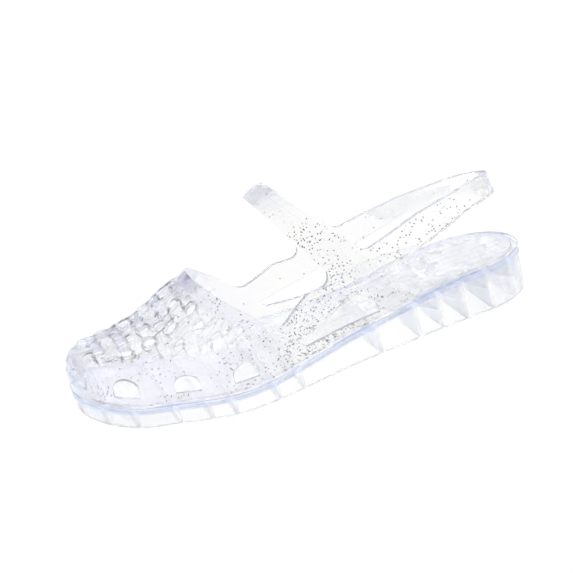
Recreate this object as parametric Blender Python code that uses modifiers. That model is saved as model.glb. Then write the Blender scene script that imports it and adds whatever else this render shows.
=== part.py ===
"""Jelly sandal, left shoe: a moulded clear upper, a footbed and a hollow ribbed outsole.

Frame: +X to the toe, +Y to the shoe's left (its outer side), +Z up.
The origin is on the floor, under the middle of the outsole.
"""
import math
from collections import namedtuple

import bmesh
import bpy
import numpy as np
from mathutils import Matrix, Vector

# Driving sizes, in metres
LENGTH = 0.250            # outsole, heel to toe
BALL_WIDTH = 0.086        # outsole across the ball
HEEL_WIDTH = 0.0555       # outsole across the heel
HEEL_HEIGHT = 0.0242      # floor to the rim of the footbed at the heel
FOREFOOT_HEIGHT = 0.0116  # floor to the rim under the ball
TOE_SPRING = 0.0147       # lift of the outsole's underside at the toe
INSTEP_HEIGHT = 0.0965    # floor to the top of the instep strap

UPPER_WALL = 0.0022       # thickness of the moulded upper
SKIRT_WALL = 0.0022       # thickness of the outsole's side wall
DECK = 0.0020             # plate of the outsole, under the footbed
RIM_BAND = 0.0046         # height of the thick band round the footbed
RIM_STEP = 0.0008         # how far that band stands out from the skirt
RIM_LIP = 0.0032          # width of the band's top, which carries the upper
FOOTBED = 0.0022          # thickness of the footbed
UPPER_SET_IN = 0.0005     # upper's wall, from the outer edge of the band
RIB = 0.0022              # thickness of the ribs under the sole
BRACE = 0.0016            # thickness of the sloping braces between them
BRACE_WIDTH = 0.0130      # from the skirt towards the middle
GAP = 0.0003              # between pieces that touch

RAND_HEIGHT = 0.0220      # smooth wall between the rim and the weave
RAND_TOE_DROP = 0.0045    # how much lower that wall is at the toe
COLLAR = 0.0070           # width of the smooth band round the throat
RAIL_BACK = 0.0034        # rail under the long side window, at its back
RAIL_FRONT = 0.0062       # and at its front
WEAVE_RISE = 0.0010       # strips of the weave stand out by this much where they cross
WEAVE_GIRTH = 0.0110      # from one lengthways strip to the next, round the toe cap
WEAVE_COLUMNS = 12        # half cells of the weave along the toe cap
WEAVE_ROWS = 8            # half cells from the middle down each side
WEAVE_GAP_LENGTH = 0.0058
WEAVE_GAP_GIRTH = 0.0050
WINDOW_WIDTH = 0.0130     # arched windows in the rand
WINDOW_HEIGHT = 0.0085
WINDOW_SILL = 0.0048      # from the rim up to a window
WINDOW_PITCH = 0.0300     # along the rim
WINDOW_FIRST = 0.0115     # first window's middle, from the toe's tip
WINDOWS_A_SIDE = 4

# Where the outline's ends and the toe spring begin, as shares of the length
HEEL_ROUND = 0.13
TOE_ROUND = 0.86
SPRING_START = 0.66
SLING_ROUND = 0.30        # the heel strap turns in over a longer stretch
SLING_LEVEL = 0.67        # height of the strap, as a share of the last's height
WEAVE_BACK = 0.662
WEAVE_FRONT = 0.956
WEAVE_BLEND = 0.12        # behind the weave the rows of points spread out over this length
SLING_LEAN = 0.0068       # the heel strap's back stands this far in from the heel

# Outline and height of the sole: half widths as shares of half the ball width
# (the heel's share is worked out), rim as a share between forefoot and heel height
SoleRow = namedtuple("SoleRow", "along lateral medial rim")
HEEL_SHARE = HEEL_WIDTH / BALL_WIDTH
SOLE = [
    SoleRow(0.00, HEEL_SHARE, HEEL_SHARE, 1.00),
    SoleRow(0.13, HEEL_SHARE, HEEL_SHARE, 1.00),
    SoleRow(0.42, 0.770, 0.603, 0.49),
    SoleRow(0.68, 0.993, 1.000, 0.00),
    SoleRow(0.86, 0.805, 0.836, 0.00),
    SoleRow(1.00, 0.805, 0.836, 0.00),
]

# The last: crest above the floor as a share of the instep height, and how full
# the section is at its side and its top (2 is an ellipse, more is boxier)
LastRow = namedtuple("LastRow", "along crest side top")
LAST = [
    LastRow(0.000, 0.790, 2.0, 1.70),
    LastRow(0.240, 0.790, 2.0, 1.70),
    LastRow(0.330, 0.900, 2.0, 1.50),
    LastRow(0.400, 1.020, 2.1, 1.30),
    LastRow(0.510, 1.008, 2.3, 1.18),
    LastRow(0.554, 0.957, 2.3, 1.22),
    LastRow(0.640, 0.793, 2.2, 1.55),
    LastRow(0.708, 0.660, 2.2, 2.0),
    LastRow(0.772, 0.575, 2.3, 2.1),
    LastRow(0.820, 0.514, 2.4, 2.2),
    LastRow(0.868, 0.477, 2.5, 2.2),
    LastRow(0.912, 0.463, 2.5, 2.3),
    LastRow(0.972, 0.458, 2.5, 2.3),
    LastRow(0.990, 0.430, 2.5, 2.3),
    LastRow(1.000, 0.385, 2.5, 2.3),
]

# Side view of the upper's edge: along as a share of the length, height as a
# share of the instep height, and the corner's radius as a share of the collar
EdgeRow = namedtuple("EdgeRow", "along height radius")
EDGE = [
    EdgeRow(1.050, 0.95, 0.0),     # clear of the toe cap
    EdgeRow(0.785, 0.95, 0.0),
    EdgeRow(0.700, 0.640, 1.5),    # crown of the throat
    EdgeRow(0.650, 0.513, 4.0),
    EdgeRow(0.581, 0.350, 0.8),    # bottom of the throat
    EdgeRow(0.510, 0.458, 1.2),    # top edge of the diagonal band
    EdgeRow(0.440, 0.474, 0.7),    # corner with the instep strap
    EdgeRow(0.487, 0.690, 4.0),    # front edge of the instep strap
    EdgeRow(0.554, 0.962, 0.0),
    EdgeRow(0.620, 1.220, 0.0),    # clear of the crest
    EdgeRow(0.564, 1.220, 0.0),
    EdgeRow(0.508, 1.006, 0.0),    # back edge of the instep strap
    EdgeRow(0.410, 0.700, 4.0),
    EdgeRow(0.362, 0.560, 0.9),    # fillet with the heel strap
    EdgeRow(0.220, 0.632, 4.0),    # top edge of the heel strap
    EdgeRow(0.090, 0.668, 4.0),
    EdgeRow(-0.05, 0.671, 0.0),
    EdgeRow(-0.05, 0.562, 0.0),
    EdgeRow(0.110, 0.551, 4.0),    # bottom edge of the heel strap
    EdgeRow(0.328, 0.424, 0.5),
    EdgeRow(0.314, 0.360, 0.5),    # back edge of the rear leg
    EdgeRow(0.266, 0.170, 0.0),
    EdgeRow(0.266, -0.08, 0.0),
    EdgeRow(1.050, -0.08, 0.0),
]

# Top of the long side window, whose bottom follows the rim's rail
WINDOW_TOP = [
    EdgeRow(0.550, 0.243, 0.0),
    EdgeRow(0.498, 0.294, 3.0),
    EdgeRow(0.402, 0.372, 0.6),
    EdgeRow(0.368, 0.290, 0.6),
    EdgeRow(0.366, 0.232, 0.5),
]
WINDOW_BOTTOM_STEPS = 5

# Ribs across the hollow sole: along as a share of the length. The heel's ribs
# are braced, each with a sloping plate down to the next rib behind it
RIBS = [0.056, 0.114, 0.177, 0.232, 0.288, 0.380, 0.565, 0.620, 0.712, 0.760, 0.823, 0.903, 0.953]
BRACED_RIBS = 5
BRACE_DROP = 0.45         # foot of a brace, as a share of the room under the deck

# Sampling of the surfaces
HEEL_STATIONS = 8
MID_STATIONS = 15
WALL_ROWS = 4
WALL_SHARE = 0.75         # most of a section's girth that the weave's rows may take
TOE_STATIONS = [0.974, 0.987, 0.996, 1.0]
SOLE_STEPS = 15           # outline points in each rounded end, each side
SIDES = {"lateral": 1.0, "medial": -1.0}

HALF_BALL = BALL_WIDTH / 2
MID = LENGTH / 2


def through(table, name, at):
    """Smooth curve through a column of a table, with no overshoot."""
    x = np.array([row.along for row in table])
    y = np.array([getattr(row, name) for row in table])
    step = np.diff(x)
    slope = np.diff(y) / step
    tangent = np.concatenate([slope[:1], np.zeros(len(x) - 2), slope[-1:]])
    for i in range(1, len(x) - 1):
        if slope[i - 1] * slope[i] > 0:
            before = 2 * step[i] + step[i - 1]
            after = step[i] + 2 * step[i - 1]
            tangent[i] = (before + after) / (before / slope[i - 1] + after / slope[i])
    at = np.clip(np.asarray(at, float), x[0], x[-1])
    i = np.clip(np.searchsorted(x, at, side="right") - 1, 0, len(step) - 1)
    t = (at - x[i]) / step[i]
    rise = (3 - 2 * t) * t * t
    return (y[i] * (1 - rise) + y[i + 1] * rise
            + step[i] * t * (1 - t) * ((1 - t) * tangent[i] - t * tangent[i + 1]))


def keel(along):
    """Height of the outsole's underside."""
    return TOE_SPRING * np.clip((np.asarray(along) - SPRING_START) / (1 - SPRING_START), 0, 1) ** 2


def rim(along):
    """Height of the rim that the upper stands on."""
    share = through(SOLE, "rim", along)
    return FOREFOOT_HEIGHT + (HEEL_HEIGHT - FOREFOOT_HEIGHT) * share + keel(along)


def end_round(along, heel_round, heel_power, side):
    """Share of the width that is left where the heel and the toe round off."""
    heel = np.clip(1 - along / heel_round, 0, 1) ** heel_power
    toe_power = 2.1 if side == "lateral" else 2.4
    toe = np.clip((along - TOE_ROUND) / (1 - TOE_ROUND), 0, 1) ** toe_power
    return np.sqrt(np.clip(1 - heel, 0, 1)) * np.sqrt(np.clip(1 - toe, 0, 1))


def sole_half_width(side, along):
    return HALF_BALL * through(SOLE, side, along) * end_round(along, HEEL_ROUND, 2.0, side)


def sole_stations():
    """Shares of the length, closer together where the ends round off."""
    heel = [HEEL_ROUND * (1 - math.cos(math.pi / 2 * i / SOLE_STEPS)) for i in range(SOLE_STEPS)]
    toe_length = 1 - TOE_ROUND
    toe = [1 - toe_length * (1 - math.sin(math.pi / 2 * i / SOLE_STEPS)) for i in range(1, SOLE_STEPS + 1)]
    middle = np.linspace(HEEL_ROUND, TOE_ROUND, 20)
    return np.array(heel + list(middle) + toe)


def outline(inset):
    """Plan of the sole moved in by inset: stations, lateral points and medial points."""
    along = sole_stations()
    x = along * LENGTH - MID
    sides = []
    for side, sign in SIDES.items():
        y = sole_half_width(side, along)
        dx = np.gradient(x)
        dy = np.gradient(y)
        dx[0] = 0.0
        dx[-1] = 0.0
        length = np.hypot(dx, dy)
        px = x + dy / length * inset
        py = np.maximum(y - dx / length * inset, 0.0)
        py[0] = 0.0
        py[-1] = 0.0
        px[0] = x[0] + inset
        px[-1] = x[-1] - inset
        sides.append(np.stack([px, sign * py], axis=1))
    return along, sides[0], sides[1]


def ring(inset, height):
    """Closed ring of points, heel to toe on the lateral side and back on the medial."""
    along, lateral, medial = outline(inset)
    level = height(along)
    up = [Vector((p[0], p[1], z)) for p, z in zip(lateral, level)]
    back = [Vector((p[0], p[1], z)) for p, z in zip(medial, level)]
    return up + back[-2:0:-1]


def new_object(name, mesh, collection):
    obj = bpy.data.objects.new(name, mesh)
    collection.objects.link(obj)
    return obj


def mesh_from(name, points, faces):
    mesh = bpy.data.meshes.new(name)
    mesh.from_pydata([tuple(p) for p in points], [], faces)
    mesh.update()
    return mesh


def ladder(size, first, flip):
    """Faces across a ring, from each lateral point to the medial one beside it."""
    half = size // 2
    faces = []
    for i in range(half):
        near = [first + i, first + i + 1]
        far = [first + (size - i - 1) % size, first + (size - i) % size]
        face = list(dict.fromkeys(near + far))
        faces.append(face[::-1] if flip else face)
    return faces


def lofted(name, rings, collection):
    """Closed solid through rings of equal size, with ladders of faces across both ends."""
    size = len(rings[0])
    points = [p for one in rings for p in one]
    faces = ladder(size, 0, True)
    for k in range(len(rings) - 1):
        for i in range(size):
            j = (i + 1) % size
            faces.append([k * size + i, k * size + j, (k + 1) * size + j, (k + 1) * size + i])
    faces += ladder(size, (len(rings) - 1) * size, False)
    obj = new_object(name, mesh_from(name, points, faces), collection)
    tidy(obj)
    return obj


def tidy(obj):
    """Weld the mesh, split bent faces into triangles and turn every face outward."""
    bm = bmesh.new()
    bm.from_mesh(obj.data)
    bmesh.ops.remove_doubles(bm, verts=bm.verts, dist=0.00002)
    bmesh.ops.triangulate(bm, faces=[f for f in bm.faces if len(f.verts) > 3], quad_method="SHORT_EDGE")
    bmesh.ops.recalc_face_normals(bm, faces=bm.faces)
    bm.to_mesh(obj.data)
    bm.free()


def cutter(name, mesh, collection):
    obj = new_object(name, mesh, collection)
    obj.hide_render = True
    obj.display_type = "WIRE"
    return obj


def boolean(obj, tool, operation):
    modifier = obj.modifiers.new(operation.title() + " " + tool.name, "BOOLEAN")
    modifier.operation = operation
    modifier.object = tool
    modifier.solver = "EXACT"


def plastic(name, colour, roughness, alpha):
    """Clear vinyl, with the look of its thickness in its colour."""
    material = bpy.data.materials.new(name)
    material.use_nodes = True
    shader = material.node_tree.nodes["Principled BSDF"]
    shader.inputs["Base Color"].default_value = colour
    shader.inputs["Roughness"].default_value = roughness
    shader.inputs["Metallic"].default_value = 0.0
    shader.inputs["Alpha"].default_value = alpha
    material.diffuse_color = colour
    return material


def half_width_of_last(side, along, height):
    """Half width of the last at a height, given as a share from the rim to the crest."""
    rise = np.clip(height / SLING_LEVEL, 0, 1)
    heel_round = HEEL_ROUND + (SLING_ROUND - HEEL_ROUND) * rise
    heel_power = 2.0 - 0.4 * rise
    width = HALF_BALL * through(SOLE, side, along) - UPPER_SET_IN
    fullness = through(LAST, "side", along)
    top = through(LAST, "top", along)
    section = np.clip(1 - height ** top, 0, 1) ** (1 / fullness)
    return width * end_round(along, heel_round, heel_power, side) * section


def upper_stations():
    """Shares of the length: heel strap, straps, the weave's columns and the toe."""
    heel = [0.20 * (1 - math.cos(math.pi / 2 * i / HEEL_STATIONS)) for i in range(HEEL_STATIONS)]
    middle = list(np.linspace(0.20, WEAVE_BACK, MID_STATIONS + 1)[:-1])
    weave = list(np.linspace(WEAVE_BACK, WEAVE_FRONT, WEAVE_COLUMNS + 1))
    return heel + middle + weave + TOE_STATIONS


def rand_top(along):
    """Height of the smooth wall's top, where the weave begins."""
    drop = RAND_TOE_DROP * max(0.0, (along - TOE_ROUND) / (1 - TOE_ROUND))
    return float(rim(along)) + RAND_HEIGHT - drop


def section(side, along):
    """Points of the last's section, from the rim up to the crest.

    In the weave they are rows up the side wall and then the weave's own rows. Behind it
    they lie closer together where the section bends more.
    """
    bottom = float(rim(along)) + GAP
    crest = float(through(LAST, "crest", along)) * INSTEP_HEIGHT
    angle = np.linspace(0, math.pi / 2, 160)
    share = np.sin(angle) ** (2 / float(through(LAST, "top", along)))
    y = half_width_of_last(side, along, share)
    z = bottom + (crest - bottom) * share
    run = np.concatenate([[0], np.cumsum(np.hypot(np.diff(y), np.diff(z)))])
    whole = run[-1]
    blend = min(max((along - WEAVE_BACK + WEAVE_BLEND) / WEAVE_BLEND, 0.0), 1.0)
    turn = whole - min(WEAVE_ROWS * WEAVE_GIRTH / 2, WALL_SHARE * whole)
    woven = np.concatenate([np.linspace(0, turn, WALL_ROWS + 1)[:-1],
                            np.linspace(turn, whole, WEAVE_ROWS + 1)])
    heading = np.arctan2(np.gradient(z), -np.gradient(y))
    closer = min(max((along - SLING_ROUND) / WEAVE_BLEND, 0.0), 1.0) / (math.pi / 2)
    measure = run / whole + closer * np.maximum.accumulate(heading[0] - heading)
    plain = np.interp(np.linspace(0, measure[-1], len(woven)), measure, run)
    stops = blend * woven + (1 - blend) * plain
    y = np.interp(stops, run, y)
    z = np.interp(stops, run, z)
    lean = SLING_LEAN * (1 - along) ** 3 * (z - bottom) / (SLING_LEVEL * (crest - bottom))
    shrink = 1 - 2 * UPPER_SET_IN / LENGTH
    x = (along * LENGTH - MID) * shrink + lean
    sign = SIDES[side]
    return [Vector((float(px), sign * float(py), float(pz))) for px, py, pz in zip(x, y, z)]


def last_grid():
    """Grid of points over the last: a row of stations, each from the lateral rim over to the medial."""
    grid = []
    for along in upper_stations():
        lateral = section("lateral", along)
        medial = section("medial", along)
        grid.append(lateral + medial[-2::-1])
    return grid


def weave_cell(i, j):
    """Column and row of a grid point in the weave, or None outside it. Row 0 is the middle."""
    column = i - HEEL_STATIONS - MID_STATIONS
    row = j - WALL_ROWS - WEAVE_ROWS
    if 0 <= column <= WEAVE_COLUMNS and -WEAVE_ROWS <= row <= WEAVE_ROWS:
        return column, row
    return None


def grid_normal(grid, i, j):
    along = grid[i + 1][j] - grid[i - 1][j]
    across = grid[i][j + 1] - grid[i][j - 1]
    return across.cross(along).normalized() * -1


def throat_distance(point):
    """Distance from the throat's edge in side view, positive on the toe's side."""
    best = 1.0
    rows = EDGE[1:5]
    for one, two in zip(rows, rows[1:]):
        a = Vector((one.along * LENGTH - MID, one.height * INSTEP_HEIGHT))
        b = Vector((two.along * LENGTH - MID, two.height * INSTEP_HEIGHT))
        p = Vector((point.x, point.z))
        way = b - a
        share = min(max((p - a).dot(way) / way.length_squared, 0), 1)
        best = min(best, (p - a - way * share).length)
    ahead = point.x - np.interp(point.z, [r.height * INSTEP_HEIGHT for r in rows[::-1]],
                                [r.along * LENGTH - MID for r in rows[::-1]])
    return best if ahead > 0 else -best


def in_weave(grid, i, j, margin):
    """Whether a grid point lies in the woven part, clear of its edges by a margin."""
    along = upper_stations()[i]
    point = grid[i][j]
    above = point.z - rand_top(along)
    return weave_cell(i, j) is not None and above > margin and throat_distance(point) > COLLAR + margin


def weave_gaps(grid):
    """Open cells, between the strips: every second column and every second row."""
    gaps = []
    for i in range(1, len(grid) - 1):
        for j in range(1, len(grid[0]) - 1):
            cell = weave_cell(i, j)
            open_cell = cell is not None and cell[0] % 2 == 1 and cell[1] % 2 == 0
            if open_cell and in_weave(grid, i, j, WEAVE_GAP_GIRTH * 0.45):
                gaps.append((i, j))
    return gaps


def prism_cutter(name, shapes, collection):
    """One mesh of separate prisms, each from a ring of points and the way that it runs."""
    points = []
    faces = []
    for shape, way in shapes:
        first = len(points)
        size = len(shape)
        points += [p - way for p in shape] + [p + way for p in shape]
        faces.append([first + k for k in range(size)][::-1])
        faces.append([first + size + k for k in range(size)])
        for k in range(size):
            n = (k + 1) % size
            faces.append([first + k, first + n, first + size + n, first + size + k])
    obj = cutter(name, mesh_from(name, points, faces), collection)
    bm = bmesh.new()
    bm.from_mesh(obj.data)
    bmesh.ops.recalc_face_normals(bm, faces=bm.faces)
    bm.to_mesh(obj.data)
    bm.free()
    return obj


def gap_shapes(grid, gaps):
    """Eight-sided gaps, longer along the shoe, each square to the wall."""
    shapes = []
    for i, j in gaps:
        centre = grid[i][j]
        along = (grid[i + 1][j] - grid[i - 1][j]).normalized() * WEAVE_GAP_LENGTH / 2
        across = (grid[i][j + 1] - grid[i][j - 1]).normalized() * WEAVE_GAP_GIRTH / 2
        corners = [(1, 0.45), (0.45, 1), (-0.45, 1), (-1, 0.45),
                   (-1, -0.45), (-0.45, -1), (0.45, -1), (1, -0.45)]
        shape = [centre + along * u + across * v for u, v in corners]
        shapes.append((shape, grid_normal(grid, i, j) * UPPER_WALL * 1.8))
    return shapes


def rim_walk(side):
    """Points round the rim from the toe's tip back, with the run between them."""
    along = np.linspace(1.0, 0.5, 400)
    x = along * LENGTH - MID
    y = SIDES[side] * (sole_half_width(side, along) - UPPER_SET_IN * end_round(along, HEEL_ROUND, 2.0, side))
    run = np.concatenate([[0], np.cumsum(np.hypot(np.diff(x), np.diff(y)))])
    return along, x, y, run


def window_shapes():
    """Arched windows in the rand, at even steps round the toe."""
    shapes = []
    for side in SIDES:
        along, x, y, run = rim_walk(side)
        for k in range(WINDOWS_A_SIDE):
            middle = WINDOW_FIRST + k * WINDOW_PITCH
            straight = WINDOW_HEIGHT - WINDOW_WIDTH * 0.35
            arch = [(WINDOW_WIDTH / 2 * math.cos(a), straight + WINDOW_WIDTH * 0.35 * math.sin(a))
                    for a in np.linspace(0, math.pi, 7)]
            corners = [(-WINDOW_WIDTH / 2, 0.0), (WINDOW_WIDTH / 2, 0.0)] + arch
            ends = [np.interp(middle + d, run, v) for v in (x, y) for d in (-0.002, 0.002)]
            way = Vector((ends[1] - ends[0], ends[3] - ends[2], 0)).normalized()
            out = Vector((way.y, -way.x, 0))
            place = float(np.interp(middle, run, along))
            centre = Vector((np.interp(middle, run, x), np.interp(middle, run, y),
                             float(rim(place)) + WINDOW_SILL))
            slope = (float(rim(place - 0.01)) - float(rim(place + 0.01))) / (0.02 * LENGTH)
            tilt = Vector((way.x, way.y, slope * abs(way.x))).normalized()
            shape = [centre + tilt * u + Vector((0, 0, 1)) * v for u, v in corners]
            shapes.append((shape, out * 0.006))
    return shapes


def rounded(rows):
    """Corners of an outline in side view, each rounded by an arc of its radius."""
    corners = [Vector((r.along * LENGTH - MID, r.height * INSTEP_HEIGHT)) for r in rows]
    points = []
    for k, row in enumerate(rows):
        corner = corners[k]
        before = corners[k - 1] - corner
        after = corners[(k + 1) % len(rows)] - corner
        half = before.angle(after) / 2
        room = 0.45 * min(before.length, after.length)
        tangent = min(row.radius * COLLAR / math.tan(half), room)
        if tangent <= 0:
            points.append(corner)
            continue
        radius = tangent * math.tan(half)
        centre = corner + (before.normalized() + after.normalized()).normalized() * radius / math.sin(half)
        start = corner + before.normalized() * tangent - centre
        end = corner + after.normalized() * tangent - centre
        swing = start.angle_signed(end)
        steps = max(2, round(abs(swing) / math.radians(24)))
        for s in range(steps + 1):
            turned = start.copy()
            turned.rotate(Matrix.Rotation(-swing * s / steps, 2))
            points.append(centre + turned)
    return points


def side_window():
    """Long window between the diagonal band, the rear leg and the rail on the rim."""
    top = rounded(WINDOW_TOP + [EdgeRow(0.366, 0.20, 0.0)])[:-1]
    back = WINDOW_TOP[-1].along
    front = WINDOW_TOP[0].along
    bottom = []
    for along in np.linspace(back + 0.012, front - 0.012, WINDOW_BOTTOM_STEPS):
        rail = RAIL_BACK + (RAIL_FRONT - RAIL_BACK) * (along - back) / (front - back)
        bottom.append(Vector((along * LENGTH - MID, float(rim(along)) + rail)))
    return top + bottom


def edge_cutter(collection):
    """Side view of the upper, with its windows, drawn flat and made thick across the shoe."""
    curve = bpy.data.curves.new("Upper edge", "CURVE")
    curve.dimensions = "2D"
    curve.fill_mode = "BOTH"
    curve.extrude = BALL_WIDTH
    for points in (rounded(EDGE), side_window()):
        spline = curve.splines.new("POLY")
        spline.points.add(len(points) - 1)
        spline.use_cyclic_u = True
        for target, p in zip(spline.points, points):
            target.co = (p.x, p.y, 0, 1)
    drawn = new_object("Upper edge curve", curve, collection)
    drawn.rotation_euler = (math.pi / 2, 0, 0)
    bpy.context.view_layer.update()
    evaluated = drawn.evaluated_get(bpy.context.evaluated_depsgraph_get())
    mesh = bpy.data.meshes.new_from_object(evaluated)
    obj = cutter("Upper edge", mesh, collection)
    obj.matrix_world = drawn.matrix_world
    bpy.data.objects.remove(drawn)
    bm = bmesh.new()
    bm.from_mesh(mesh)
    bmesh.ops.remove_doubles(bm, verts=bm.verts, dist=0.00001)
    bmesh.ops.recalc_face_normals(bm, faces=bm.faces)
    bm.to_mesh(mesh)
    bm.free()
    return obj


def woven(grid):
    """The grid with the weave's crossings raised."""
    raised = []
    for i, line in enumerate(grid):
        for j, point in enumerate(line):
            cell = weave_cell(i, j)
            crossing = cell is not None and cell[0] % 2 == 0 and cell[1] % 2 == 1
            if crossing and 0 < i < len(grid) - 1 and in_weave(grid, i, j, 0.0):
                point = point + grid_normal(grid, i, j) * WEAVE_RISE
            raised.append(point)
    return raised


def build_upper(parts, cutters, material):
    """One wall over the last, cut to its edge, with gaps in the weave and arched windows."""
    grid = last_grid()
    rows = len(grid[0])
    faces = []
    for i in range(len(grid) - 1):
        for j in range(rows - 1):
            a, b = i * rows + j, (i + 1) * rows + j
            faces.append([a, b, b + 1, a + 1])
    obj = new_object("upper", mesh_from("upper", woven(grid), faces), parts)
    tidy(obj)
    face_outward(obj)
    shell = obj.modifiers.new("Wall", "SOLIDIFY")
    shell.thickness = UPPER_WALL
    shell.offset = -1
    shell.use_even_offset = True
    boolean(obj, edge_cutter(cutters), "INTERSECT")
    boolean(obj, prism_cutter("Weave gaps", gap_shapes(grid, weave_gaps(grid)), cutters), "DIFFERENCE")
    boolean(obj, prism_cutter("Wall windows", window_shapes(), cutters), "DIFFERENCE")
    obj.data.materials.append(material)
    return obj


def face_outward(obj):
    """An open shell's faces look away from the middle of the shoe."""
    bm = bmesh.new()
    bm.from_mesh(obj.data)
    outward = sum(f.normal.y * f.calc_center_median().y * f.calc_area() for f in bm.faces)
    if outward < 0:
        bmesh.ops.reverse_faces(bm, faces=bm.faces)
    bm.to_mesh(obj.data)
    bm.free()


def skirt_reach(side, along):
    """Half width to the middle of the skirt's thickness."""
    return float(sole_half_width(side, along)) - RIM_STEP - SKIRT_WALL / 2


def plate(head, foot, thickness, span):
    """Corners of a plate from its head to its foot, each a share of the length and a height.

    span gives the plate's two ends across the shoe at a share of the length.
    """
    points = []
    for along, z in (head, foot):
        for shift in (-thickness / 2, thickness / 2):
            share = along + shift / LENGTH
            for y in span(share):
                points.append(Vector((share * LENGTH - MID, y, z)))
    return points


def whole_span(along):
    return [sign * skirt_reach(side, along) for side, sign in SIDES.items()]


def brace_span(side):
    """A brace reaches in from one side's skirt, and leaves the middle of the sole open."""
    def span(along):
        reach = skirt_reach(side, along)
        return [SIDES[side] * reach, SIDES[side] * (reach - BRACE_WIDTH)]
    return span


def wall_mesh(name, walls, collection):
    """One mesh of separate plates, each of eight corners."""
    points = []
    faces = []
    for wall in walls:
        n = len(points)
        points += wall
        for face in ((0, 1, 3, 2), (4, 5, 7, 6), (0, 1, 5, 4), (2, 3, 7, 6), (0, 2, 6, 4), (1, 3, 7, 5)):
            faces.append([n + k for k in face])
    obj = cutter(name, mesh_from(name, points, faces), collection)
    bm = bmesh.new()
    bm.from_mesh(obj.data)
    bmesh.ops.recalc_face_normals(bm, faces=bm.faces)
    bm.to_mesh(obj.data)
    bm.free()
    return obj


def deck_underside(along):
    return rim(along) - FOOTBED - GAP - DECK


def build_outsole(parts, cutters, material):
    """Deck, thick rim band and skirt in one piece, hollow below, with ribs and heel braces."""
    skirt_in = RIM_STEP + SKIRT_WALL
    rings = [
        ring(skirt_in, deck_underside),
        ring(skirt_in, keel),
        ring(RIM_STEP, keel),
        ring(RIM_STEP, lambda along: rim(along) - RIM_BAND),
        ring(0.0, lambda along: rim(along) - RIM_BAND + RIM_STEP / 2),
        ring(0.0, lambda along: rim(along) - RIM_STEP / 2),
        ring(RIM_STEP / 2, rim),
        ring(RIM_LIP, rim),
        ring(RIM_LIP, lambda along: rim(along) - FOOTBED - GAP),
    ]
    obj = lofted("outsole", rings, parts)
    into_deck = DECK / 2
    ribs = []
    braces = []
    for k, along in enumerate(RIBS):
        top = float(deck_underside(along)) + into_deck
        bottom = float(keel(along))
        ribs.append(plate((along, top), (along, bottom), RIB, whole_span))
        if 0 < k < BRACED_RIBS:
            foot = (RIBS[k - 1], top - (top - bottom) * BRACE_DROP)
            for side in SIDES:
                braces.append(plate((along, top), foot, BRACE, brace_span(side)))
    boolean(obj, wall_mesh("Ribs", ribs, cutters), "UNION")
    boolean(obj, wall_mesh("Braces", braces, cutters), "UNION")
    obj.data.materials.append(material)
    return obj


def build_footbed(parts, material):
    """Plate that fills the space inside the rim band, flush with it."""
    inset = RIM_LIP + GAP
    edge = FOOTBED / 4
    rings = [
        ring(inset, lambda along: rim(along) - FOOTBED),
        ring(inset, lambda along: rim(along) - edge),
        ring(inset + edge, rim),
    ]
    obj = lofted("footbed", rings, parts)
    obj.data.materials.append(material)
    return obj


def clear_scene():
    for obj in list(bpy.data.objects):
        bpy.data.objects.remove(obj, do_unlink=True)


def main():
    clear_scene()
    parts = bpy.data.collections.new("jelly_sandal")
    cutters = bpy.data.collections.new("cutters")
    for collection in (parts, cutters):
        bpy.context.scene.collection.children.link(collection)
    clear_vinyl = plastic("clear vinyl", (0.80, 0.82, 0.92, 1.0), 0.12, 0.45)
    footbed_vinyl = plastic("footbed vinyl", (0.62, 0.70, 0.90, 1.0), 0.20, 0.60)
    upper = build_upper(parts, cutters, clear_vinyl)
    outsole = build_outsole(parts, cutters, clear_vinyl)
    footbed = build_footbed(parts, footbed_vinyl)
    for obj in (upper, outsole, footbed):
        obj.data.shade_smooth()
        obj.data.set_sharp_from_angle(angle=math.radians(35))


main()
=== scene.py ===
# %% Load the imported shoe
import math
from collections import namedtuple

import bpy
import numpy as np
from mathutils import Matrix, Quaternion, Vector


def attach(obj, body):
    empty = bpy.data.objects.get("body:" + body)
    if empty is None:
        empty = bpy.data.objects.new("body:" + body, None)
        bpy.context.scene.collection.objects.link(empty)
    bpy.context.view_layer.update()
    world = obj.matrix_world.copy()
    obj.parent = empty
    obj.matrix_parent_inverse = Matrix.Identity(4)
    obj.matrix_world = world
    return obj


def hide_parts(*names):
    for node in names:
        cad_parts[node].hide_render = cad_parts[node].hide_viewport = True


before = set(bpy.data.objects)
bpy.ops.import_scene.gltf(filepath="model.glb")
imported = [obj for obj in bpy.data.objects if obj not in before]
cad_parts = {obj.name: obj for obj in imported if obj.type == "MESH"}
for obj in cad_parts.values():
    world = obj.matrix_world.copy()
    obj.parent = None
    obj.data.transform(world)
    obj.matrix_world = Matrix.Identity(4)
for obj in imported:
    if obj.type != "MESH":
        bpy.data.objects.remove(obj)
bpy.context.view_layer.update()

# %% [markdown]
# The shoe is a jelly sandal: clear soft vinyl, injected in one mould. Light goes through
# the upper, the footbed and the hollow sole, so every surface counts, also those behind.
# Sizes repeat the named sizes of the part's own source, in metres from the floor under the
# middle of the sole, with +X to the toe and +Y to the shoe's outer side.

# %% Sizes of the shoe
LENGTH = 0.250
BALL_WIDTH = 0.086
HEEL_WIDTH = 0.0555
HEEL_HEIGHT = 0.0242
FOREFOOT_HEIGHT = 0.0116
TOE_SPRING = 0.0147
INSTEP_HEIGHT = 0.0965
UPPER_WALL = 0.0022
UPPER_SET_IN = 0.0005
GAP = 0.0003
RIM_LIP = 0.0032
RAND_HEIGHT = 0.0220
RAND_TOE_DROP = 0.0045
COLLAR = 0.0070
RAIL_BACK = 0.0034
RAIL_FRONT = 0.0062
HEEL_ROUND = 0.13
TOE_ROUND = 0.86
SPRING_START = 0.66
SLING_ROUND = 0.30
SLING_LEVEL = 0.67
SLING_LEAN = 0.0068
MID = LENGTH / 2
HALF_BALL = BALL_WIDTH / 2

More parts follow.
